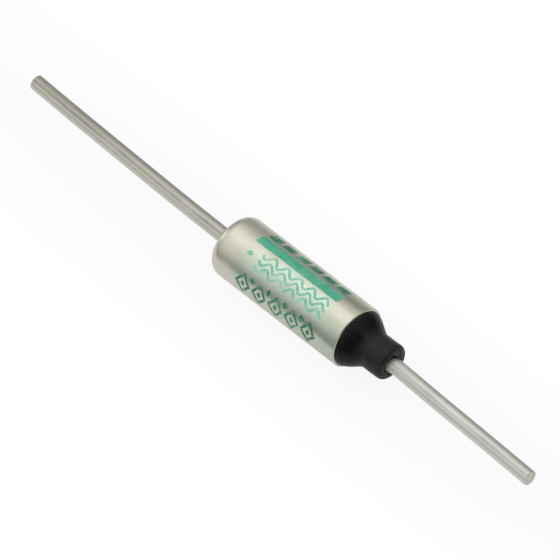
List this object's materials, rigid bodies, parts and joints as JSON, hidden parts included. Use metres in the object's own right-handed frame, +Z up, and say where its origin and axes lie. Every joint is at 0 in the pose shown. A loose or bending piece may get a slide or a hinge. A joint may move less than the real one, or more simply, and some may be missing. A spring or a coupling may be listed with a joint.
{
  "type": "thermal fuse",
  "caption": "Axial thermal fuse: a silver metal case with a rounded closed end, a black sealed cone and neck, and a tinned wire lead out of each end.",
  "frame": {"origin": "on the fuse's axis, halfway along the metal case", "axes": "+X along the axis from the closed end towards the sealed end and the isolated lead, +Z up"},
  "size_m": [0.0437, 0.0042, 0.0042],
  "materials": {
    "case_metal": "satin",
    "tinned_wire": "satin",
    "sealing_resin": "satin",
    "ceramic": "matte",
    "pellet": "matte",
    "disc_metal": "satin",
    "spring_steel": "satin",
    "contact_silver": "satin"
  },
  "bodies": {
    "fuse_body": {"case_shell": "case_metal", "case_lead": "tinned_wire", "thermal_pellet": "pellet", "trip_spring": "spring_steel", "ceramic_bushing": "ceramic", "isolated_lead": "tinned_wire", "sealing_resin": "sealing_resin"},
    "moving_contact": {"star_contact": "contact_silver", "contact_disc": "disc_metal", "barrel_spring": "spring_steel"},
    "pressure_plate": {"pressure_disc": "disc_metal"}
  },
  "joints": [
    {"name": "contact_slide", "type": "slide", "parent": "fuse_body", "child": "moving_contact", "axis": [-1, 0, 0], "range_m": [0, 0.001], "deforming": ["trip_spring", "thermal_pellet"]},
    {"name": "pressure_slide", "type": "slide", "parent": "moving_contact", "child": "pressure_plate", "axis": [-1, 0, 0], "range_m": [0, 0.0008], "deforming": ["barrel_spring"]}
  ],
  "couplings": [
    {"joint": "pressure_slide", "follows": "contact_slide", "ratio": 0.8}
  ]
}
